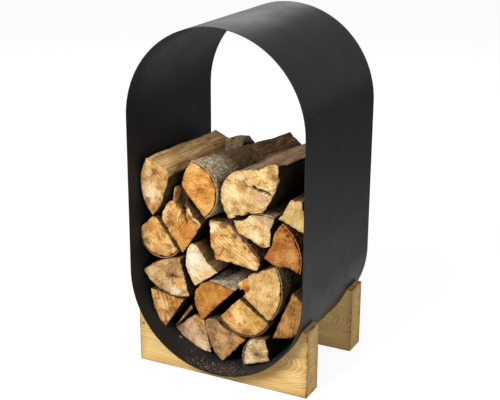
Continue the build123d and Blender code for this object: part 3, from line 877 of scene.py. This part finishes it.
def move_all(mesh, moves):
    for vertex, move in zip(mesh.vertices, moves):
        vertex.co += move
    mesh.update()


def cut_end_shares(mesh, shape):
    """For each vertex, how much it belongs to a cut end rather than to the sides."""
    return [soft_step(0.55, 0.85, abs(vertex.normal.dot(shape.axis))) for vertex in mesh.vertices]


def worn_move(vertex, look, shape, end_share, distance, seed):
    """How a vertex of a log moves as the log wears, and how much painted shade it gets in a hollow, from 0 to
    1.
    """
    point = vertex.co
    on_side = side_depth(point, seed)
    depth = on_side + (end_depth(look, point, seed) - on_side) * end_share
    move = -vertex.normal * depth
    along = shape.along(point)
    inward = 1 if along < shape.length / 2 else -1
    chip = max(0.0, uneven(point, CHIP_SIZE, CHIP_SIZE, seed) - 0.02) ** 1.5 * CHIP_DEPTH
    move += shape.axis * (chip * math.exp(-distance / RIM_REACH) * inward)
    dark = 0.0
    if (look.dents or look.grooves) and along < DENT_LIMIT:
        sunk, dark = dent_depth(look, shape, point)
        move += shape.axis * max(sunk - max(along, 0.0), min(sunk, 0.0) * end_share)
    if look.lumps or look.valleys:
        move += Vector((0.0, 0.0, top_rise(look, shape, point)))
    # How much painted shade lies at this point of a hollow
    hollow = min(max(dark / FULL_SHADE_DEPTH, 0.0), 1.0) if end_share > 0.2 else 0.0
    return move + notch(point, shape, distance, end_share, seed), hollow


def roughen(piece, look, shape):
    """Wears a smooth log into split wood, and notes its cut ends and rims, and the painted shade of its
    hollows and of its sides that don't face up.
    """
    seed = new_seed()
    end_shares = cut_end_shares(piece.data, shape)
    distances = rim_distances(piece.data, shape, end_shares)
    wear_edges(piece, [soft_step(*WORN_FROM_RIM, distance) * (1 - share)
                       for distance, share in zip(distances, end_shares)])
    mesh = piece.data
    moves = []
    hollows = []
    painted_underside_shades = []
    for vertex, end_share, distance in zip(mesh.vertices, end_shares, distances):
        move, hollow = worn_move(vertex, look, shape, end_share, distance, seed)
        moves.append(move)
        hollows.append(hollow)
        # Painted shade for the sides that face sideways or down, none on the cut ends
        painted_underside_shades.append((1 - soft_step(0.0, 0.75, vertex.normal.z)) * (1 - end_share))
    set_values(mesh, "cut_end", end_shares)
    set_values(mesh, "rim", [math.exp(-distance / RIM_REACH) for distance in distances])
    set_values(mesh, "hollow", hollows)
    set_values(mesh, "painted_underside_shade", painted_underside_shades)
    move_all(mesh, moves)


def furrow(piece, shape):
    """Breaks a smooth bark skin into plates with furrows between them."""
    mesh = piece.data
    seed = new_seed()
    end_shares = cut_end_shares(mesh, shape)
    moves = []
    for vertex in mesh.vertices:
        point = vertex.co
        spot = Vector((point.x / PLATE_WIDTH, point.y / PLATE_LENGTH, point.z / PLATE_WIDTH)) + seed
        distances = noise.voronoi(spot)[0]
        gap = 1 - soft_step(0.02, 0.3, distances[1] - distances[0])
        grain = 0.35 + 0.5 * uneven(point, GRAIN_WIDTH, GRAIN_LENGTH, seed, 3)
        moves.append(-vertex.normal * MM * (FURROW_DEPTH_MM * gap + GRAIN_DEPTH_MM * grain))
    set_values(mesh, "cut_end", end_shares)
    move_all(mesh, moves)


# Wood and bark finishes

def end_colour(nodes, look, shape, place):
    """The sawn end's colour, and its height for the relief."""
    pith = in_millimetres(nodes, place, shape.spot(*look.pith))
    mottle = nodes.use("mottle", {"Place": pith})
    lines = nodes.use("lines", {"Place": pith, "Angle": math.radians(look.line_angle),
                                "Spacing": look.line_mm})
    rings = nodes.use("rings", {"Place": pith, "Width": look.ring_mm})["Ring"]
    stain = tone(*look.stain)
    colour = nodes.mix(nodes.step(mottle["Patch"], 0.34, 0.5), stain, tone(*look.middle))
    colour = nodes.mix(nodes.step(mottle["Patch"], 0.48, 0.64), colour, tone(*look.fresh))
    colour = nodes.mix(nodes.times(rings, look.ring_share), colour, stain)
    valley = nodes.minus(1.0, lines["Line"])
    colour = nodes.mix(nodes.times(valley, look.line_share), colour, stain)
    for patch in look.patches:
        middle = in_millimetres(nodes, place, shape.spot(patch.across, patch.up))
        mask = nodes.use("patch", {"Place": middle, "Radius": patch.radius_mm, "Rays": patch.rays})["Mask"]
        share = nodes.times(mask, PATCH_STRENGTH * patch.share)
        colour = nodes.mix(share, colour, tone(*patch.tone))
    light = nodes.times_plus(lines["Hair"], 0.3, 0.68)
    light = nodes.times_plus(mottle["Grain"], 0.26, light)
    colour = nodes.mix(1.0, colour, light, blend="MULTIPLY")
    colour = nodes.mix(nodes.times(mottle["Speck"], 0.5), colour, tone(86, 60, 38))
    height = nodes.times_plus(lines["Line"], 0.3 + 0.5 * look.line_share, mottle["Grain"])
    for crack in look.cracks:
        start = in_millimetres(nodes, place, shape.spot(crack.across, crack.up))
        mask = nodes.use("crack", {"Place": start, "Angle": math.radians(crack.angle),
                                   "Length": crack.length_mm, "Width": crack.width_mm})["Mask"]
        colour = nodes.mix(nodes.times(mask, crack.share), colour, tone(44, 29, 19))
        height = nodes.times_plus(mask, -1.5, height)
    return colour, height


def side_colour(nodes, look, shape, place):
    """The split side's colour, with painted shade on sides that don't face up and deeper in the pile, and its
    height for the relief.
    """
    laid = in_millimetres(nodes, place, shape.centre, shape.turn())
    fibre = nodes.use("fibre", {"Place": laid})
    mottle = nodes.use("mottle", {"Place": laid})
    colour = nodes.mix(fibre["Streak"], tone(*look.dark_side), tone(*look.pale_side))
    weather = nodes.step(mottle["Patch"], 0.5, 0.66, 0.0, 0.45)
    colour = nodes.mix(weather, colour, tone(*look.dark_side))
    bruise = nodes.noise(nodes.stretched(laid, (0.08, 0.02, 0.08)), 1.0, 3.0, 0.6)
    colour = nodes.mix(nodes.step(bruise, 0.59, 0.7, 0.0, 0.75), colour, tone(58, 42, 29))
    # Painted shade on the sides that don't face up, as if the logs around shade them, with a ragged edge from
    # the bruise noise
    under = nodes.times_plus(bruise, 0.8, attribute(nodes, "painted_underside_shade"))
    colour = nodes.mix(nodes.step(under, 0.62, 1.15, 0.0, 0.92), colour, tone(32, 23, 16))
    # Painted shade deeper in the pile: the sides darken away from the near end, as the logs shade each other
    if look.pile_shade:
        along = nodes.axes(laid)["Y"]
        colour = nodes.mix(nodes.step(along, -25.0, 50.0, 0.0, look.pile_shade), colour, tone(24, 17, 12))
    return colour, fibre["Height"]


def log_material(look, shape):
    material, nodes, shader, place = new_material(look.node + "_wood")
    end, end_height = end_colour(nodes, look, shape, place)
    side, side_height = side_colour(nodes, look, shape, place)
    rim_noise = nodes.noise(in_millimetres(nodes, place), 0.07, 2.0)
    rim = nodes.times(attribute(nodes, "rim"), nodes.step(rim_noise, 0.4, 0.62, 0.05, 0.7))
    end = nodes.mix(rim, end, tone(*look.dark_side))
    cut = attribute(nodes, "cut_end")
    colour = nodes.mix(cut, side, end)
    # Painted shade in the hollows of dents and grooves, darker as they get deeper
    colour = nodes.mix(nodes.times(attribute(nodes, "hollow"), 0.9), colour, tone(40, 27, 18))
    height = nodes.add("Mix", {0: cut, 2: side_height, 3: end_height}, data_type="FLOAT").outputs[0]
    nodes.fill(shader, {"Base Color": colour, "Normal": relief(nodes, height, 1.0, 0.7),
                        "Roughness": 0.85, "Specular IOR Level": 0.15})
    return material


def bark_material(look, shape):
    material, nodes, shader, place = new_material(look.node + "_skin")
    laid = in_millimetres(nodes, place, shape.centre, shape.turn())
    mottle = nodes.use("mottle", {"Place": laid})
    bark = nodes.use("bark", {"Place": laid})
    colour = nodes.mix(nodes.step(mottle["Patch"], 0.38, 0.6), tone(*look.dark), tone(*look.pale))
    edge = 0.68 - 0.3 * look.lichen_share
    lichen = nodes.step(bark["Growth"], edge - 0.05, edge + 0.06, 0.0, 0.85)
    colour = nodes.mix(lichen, colour, tone(*LICHEN))
    colour = nodes.mix(nodes.times(bark["Furrow"], 0.55), colour, tone(*look.dark))
    if look.rear:
        along = nodes.axes(laid)["Y"]
        ragged = nodes.times_plus(bark["Growth"], 120.0, along)
        colour = nodes.mix(nodes.step(ragged, 120.0, 190.0, 0.0, 0.92), colour, tone(*look.rear))
    cut = attribute(nodes, "cut_end")
    edge_tone = nodes.mix(mottle["Grain"], tone(*look.dark), tone(*look.edge))
    colour = nodes.mix(cut, colour, nodes.mix(0.6, edge_tone, tone(*look.edge)))
    height = nodes.times_plus(bark["Furrow"], -0.6, bark["Growth"])
    nodes.fill(shader, {"Base Color": colour, "Normal": relief(nodes, height, 1.3, 0.8),
                        "Roughness": 0.92, "Specular IOR Level": 0.1})
    return material


def dress_log(look):
    """Puts a rough split log in the place of its CAD node."""
    shape = log_frame(look.node)
    piece = merged_copy(look.node)
    remesh(piece, look.quad)
    roughen(piece, look, shape)
    finish_piece(piece, look, log_material(look, shape))


def dress_bark(look):
    """Puts a furrowed bark skin in the place of its CAD node."""
    shape = log_frame(look.node)
    piece = merged_copy(look.node)
    remesh(piece, BARK_QUAD)
    furrow(piece, shape)
    finish_piece(piece, look, bark_material(look, shape))


def finish_piece(piece, look, material):
    piece.data.materials.clear()
    piece.data.materials.append(material)
    piece.data.shade_smooth()
    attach(piece, look.body)
    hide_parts(look.node)


# Rack finishes

def inside_hoop(nodes, spot):
    """1 on the hoop's inner face and 0 on its outer one. spot is in millimetres."""
    low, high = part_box("hoop")
    radius = (high.x - low.x) / 2 / MM
    middle = (high.z + low.z) / 2 / MM
    straight = (high.z - low.z) / 2 / MM - radius
    axes = nodes.axes(spot)
    rise = nodes.math("ABSOLUTE", nodes.minus(axes["Z"], middle))
    rise = nodes.math("MAXIMUM", nodes.minus(rise, straight), 0.0)
    squares = nodes.times_plus(rise, rise, nodes.times(axes["X"], axes["X"]))
    sheet = HOOP_SHEET / MM
    return nodes.step(nodes.math("SQRT", squares), radius - 0.75 * sheet, radius - 0.25 * sheet, 1.0, 0.0)


def powder_coat():
    """Fine matt black coat, dulled inside by the logs, with bark dust on the hoop's floor."""
    material, nodes, shader, place = new_material("powder_coat_black")
    spot = in_millimetres(nodes, place)
    grain = nodes.noise(spot, 0.9, 2.0, 0.6)
    cloud = nodes.noise(spot, 0.012, 3.0)
    colour = nodes.mix(nodes.step(cloud, 0.35, 0.7), tone(13, 13, 14), tone(19, 19, 20))
    height = nodes.axes(spot)["Z"]
    low = nodes.step(height, *DUST_FADE_MM, 1.0, 0.0)
    dust = nodes.step(nodes.noise(spot, 0.35, 3.0, 0.7), 0.55, 0.75, 0.0, 0.45)
    colour = nodes.mix(nodes.times(dust, low), colour, tone(104, 90, 70))
    dull = nodes.times(inside_hoop(nodes, spot), nodes.step(height, *DULL_FADE_MM, 1.0, 0.0))
    gloss = nodes.step(cloud, 0.3, 0.7, 0.42, 0.5)
    nodes.fill(shader, {"Base Color": colour, "Normal": relief(nodes, grain, 0.15, 0.4),
                        "Roughness": nodes.times_plus(dull, 0.3, gloss), "Specular IOR Level": 0.42})
    return material


def cradle_timber():
    """Flamed softwood: flat-sawn grain along X, scorched along its edges, with one pin knot."""
    material, nodes, shader, place = new_material("cradle_timber_flamed")
    spot = in_millimetres(nodes, place)
    axes = nodes.axes(spot)
    ring = flat_sawn_rings(nodes, spot, axes)
    fibre = nodes.noise(nodes.stretched(spot, (0.015, 0.7, 0.7)), 1.0, 3.0, 0.65)
    colour = nodes.mix(ring, tone(242, 210, 138), tone(158, 102, 44))
    colour = nodes.mix(nodes.step(fibre, 0.45, 0.7, 0.0, 0.5), colour, tone(190, 134, 66))
    flame = nodes.noise(nodes.stretched(spot, (0.006, 0.05, 0.05)), 1.0, 3.0)
    colour = nodes.mix(nodes.step(flame, 0.5, 0.68, 0.0, 0.55), colour, tone(198, 140, 68))
    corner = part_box("front_cradle")[0]
    knot_place = in_millimetres(nodes, place, (corner.x + KNOT_FROM_END, corner.y, KNOT_LEVEL))
    knot = nodes.use("patch", {"Place": knot_place, "Radius": KNOT_RADIUS_MM, "Rays": 0.3})
    colour = nodes.mix(nodes.times(knot["Mask"], 0.95), colour, tone(44, 27, 15))
    from_edge = edge_distance(nodes, spot, axes)
    colour = nodes.mix(nodes.step(from_edge, *TOAST_FADE_MM, 0.42, 0.0), colour, tone(170, 112, 52))
    colour = nodes.mix(nodes.step(from_edge, *CHAR_FADE_MM, 0.92, 0.0), colour, tone(58, 36, 20))
    height = nodes.times_plus(ring, -0.4, fibre)
    nodes.fill(shader, {"Base Color": colour, "Normal": relief(nodes, height, 0.5, 0.6),
                        "Roughness": 0.62, "Specular IOR Level": 0.3})
    return material


def flat_sawn_rings(nodes, spot, axes):
    """Late wood of a flat-sawn board: level lines that close to pointed arches towards its right end."""
    wander = nodes.noise(nodes.stretched(spot, (0.006, 0.03, 0.03)), 1.0, 2.0)
    rise = nodes.times_plus(wander, RING_WANDER_MM, nodes.minus(axes["Z"], HEART_LEVEL_MM))
    run = nodes.math("MAXIMUM", nodes.minus(axes["X"], ARCH_START_MM), 0.0)
    run = nodes.math("DIVIDE", run, ARCH_STRETCH)
    depth = nodes.minus(nodes.math("ABSOLUTE", axes["Y"]), HEART_BACK_MM)
    squares = nodes.times_plus(rise, rise, nodes.times(run, run))
    squares = nodes.times_plus(depth, nodes.times(depth, HEART_DEPTH_SHARE), squares)
    phase = nodes.math("DIVIDE", nodes.math("SQRT", squares), BOARD_RING_MM)
    ring = nodes.math("FRACT", phase)
    line = nodes.times(nodes.math("POWER", ring, 2.0), nodes.step(ring, 0.9, 1.0, 1.0, 0.0))
    season = nodes.add("TexWhiteNoise", {"W": nodes.math("FLOOR", phase)}, noise_dimensions="1D")
    return nodes.times(line, nodes.times_plus(season.outputs["Value"], 0.7, 0.3))


def edge_distance(nodes, spot, axes):
    """How far a place is from the timber's nearest edge, in millimetres, made uneven as a flame leaves it."""
    low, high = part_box("front_cradle")
    half_width = high.x / MM
    half_depth = (high.y - low.y) / 2 / MM
    middle_y = abs(high.y + low.y) / 2 / MM
    from_end = nodes.minus(half_width, nodes.math("ABSOLUTE", axes["X"]))
    from_middle = nodes.minus(nodes.math("ABSOLUTE", axes["Y"]), middle_y)
    from_face = nodes.minus(half_depth, nodes.math("ABSOLUTE", from_middle))
    from_level = nodes.math("MINIMUM", axes["Z"], nodes.minus(high.z / MM, axes["Z"]))
    total = nodes.math("ADD", nodes.math("ADD", from_end, from_face), from_level)
    nearest = nodes.math("MINIMUM", nodes.math("MINIMUM", from_end, from_face), from_level)
    farthest = nodes.math("MAXIMUM", nodes.math("MAXIMUM", from_end, from_face), from_level)
    from_edge = nodes.minus(nodes.minus(total, nearest), farthest)
    uneven_flame = nodes.noise(nodes.stretched(spot, (0.012, 0.05, 0.05)), 1.0, 3.0)
    return nodes.times_plus(uneven_flame, FLAME_WANDER_MM, from_edge)


def screw_steel():
    """Zinc-plated screws, dulled."""
    material, nodes, shader, place = new_material("screw_zinc")
    patch = nodes.noise(in_millimetres(nodes, place), 0.6, 3.0)
    colour = nodes.mix(patch, tone(150, 150, 148), tone(196, 196, 192))
    rough = nodes.step(patch, 0.3, 0.7, 0.3, 0.5)
    nodes.fill(shader, {"Base Color": colour, "Roughness": rough, "Metallic": 1.0})
    return material


def paint_nodes(material, *names):
    for name in names:
        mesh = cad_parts[name].data
        mesh.materials.clear()
        mesh.materials.append(material)


# Bark crumbs

def crumb_material():
    material, nodes, shader, place = new_material("bark_crumb")
    patch = nodes.noise(in_millimetres(nodes, place), 0.11, 2.0)
    colour = nodes.mix(nodes.step(patch, 0.38, 0.62), tone(84, 70, 54), tone(200, 178, 142))
    nodes.fill(shader, {"Base Color": colour, "Roughness": 0.9})
    return material


def add_crumbs():
    """Small chips of bark, lying on the hoop's floor in front of the logs and between them."""
    chance = random.Random(CRUMB_SEED)
    low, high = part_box("hoop")
    radius = (high.x - low.x) / 2
    centre_z = low.z + radius
    shape = bmesh.new()
    for _ in range(CRUMB_COUNT):
        swing = math.radians(chance.gauss(0.0, CRUMB_SWING_DEGREES))
        y = low.y + chance.triangular(*CRUMB_REACH_MM) * MM
        size = (0.25 + 0.4 * chance.random() + 1.0 * chance.random() ** 30) * MM
        flat = Vector((size * chance.uniform(0.8, 1.9), size * chance.uniform(0.8, 1.9), size * 0.55))
        reach = radius - HOOP_SHEET - flat.z * 0.8
        place = Matrix.Translation((math.sin(swing) * reach, y, centre_z - math.cos(swing) * reach))
        turn = Matrix.Rotation(-swing, 4, "Y") @ Matrix.Rotation(chance.uniform(0, math.tau), 4, "Z")
        matrix = place @ turn @ Matrix.Diagonal((*flat, 1.0))
        made = bmesh.ops.create_icosphere(shape, subdivisions=1, radius=1.0, matrix=matrix)
        for vertex in made["verts"]:
            vertex.co += Vector([chance.uniform(-0.22, 0.22) * size for _ in range(3)])
    crumbs = new_piece("bark_crumbs", shape)
    crumbs.data.materials.append(crumb_material())
    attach(crumbs, "rack")


# Stage

def add_camera():
    ahead = Vector((-math.sin(CAMERA_YAW) * math.cos(CAMERA_PITCH),
                    math.cos(CAMERA_YAW) * math.cos(CAMERA_PITCH), -math.sin(CAMERA_PITCH)))
    level = Vector((math.cos(CAMERA_YAW), math.sin(CAMERA_YAW), 0.0))
    upright = level.cross(ahead)
    right = level * math.cos(CAMERA_ROLL) + upright * math.sin(CAMERA_ROLL)
    up = upright * math.cos(CAMERA_ROLL) - level * math.sin(CAMERA_ROLL)
    data = bpy.data.cameras.new("camera")
    data.sensor_fit = "HORIZONTAL"
    data.sensor_width = CAMERA_SENSOR_MM
    data.lens = CAMERA_LENS_MM
    camera = bpy.data.objects.new("camera", data)
    turn = Matrix((right, up, -ahead)).transposed().to_4x4()
    camera.matrix_world = Matrix.Translation(CAMERA_PLACE) @ turn
    bpy.context.scene.collection.objects.link(camera)
    bpy.context.scene.camera = camera


def add_area_light(name, place, target, size, power):
    data = bpy.data.lights.new(name, "AREA")
    data.shape = "SQUARE"
    data.size = size
    data.energy = power
    light = bpy.data.objects.new(name, data)
    light.location = place
    light.rotation_euler = (Vector(target) - Vector(place)).to_track_quat("-Z", "Y").to_euler()
    bpy.context.scene.collection.objects.link(light)


def add_sky():
    """A plain white sky: full strength where it shows itself, less in reflections, least as light."""
    world = bpy.data.worlds.new("studio")
    world.use_nodes = True
    nodes = Nodes(world.node_tree)
    path = nodes.add("LightPath").outputs
    sheen = nodes.times(path["Is Glossy Ray"], SKY_SHEEN)
    strength = nodes.math("MAXIMUM", nodes.math("MAXIMUM", path["Is Camera Ray"], sheen), SKY_STRENGTH)
    nodes.fill(world.node_tree.nodes["Background"], {"Color": WHITE, "Strength": strength})
    bpy.context.scene.world = world


def add_floor():
    shape = bmesh.new()
    bmesh.ops.create_grid(shape, x_segments=1, y_segments=1, size=FLOOR_SIZE / 2)
    floor = new_piece("floor", shape)
    material, nodes, shader, place = new_material("pale_floor")
    path = nodes.add("LightPath").outputs
    away = nodes.vector("LENGTH", place, output="Value")
    sheen = nodes.times(path["Is Glossy Ray"], nodes.step(away, *FLOOR_SHEEN_FADE, FLOOR_SHEEN, 0.0))
    glow = nodes.times_plus(path["Is Camera Ray"], FLOOR_GLOW, sheen)
    nodes.fill(shader, {"Base Color": FLOOR_TONE, "Roughness": 0.9, "Specular IOR Level": 0.0,
                        "Emission Color": WHITE, "Emission Strength": glow})
    floor.data.materials.append(material)


for bark_look in BARK_LOOKS:
    dress_bark(bark_look)
for log_look in LOG_LOOKS:
    dress_log(log_look)
paint_nodes(powder_coat(), "hoop", "hoop_weld")
paint_nodes(cradle_timber(), "front_cradle", "rear_cradle")
paint_nodes(screw_steel(), "front_cradle_screws", "rear_cradle_screws")
add_crumbs()

add_camera()
add_sky()
add_floor()
for light in LIGHTS:
    add_area_light(*light)
bpy.context.scene.view_settings.view_transform = "Standard"
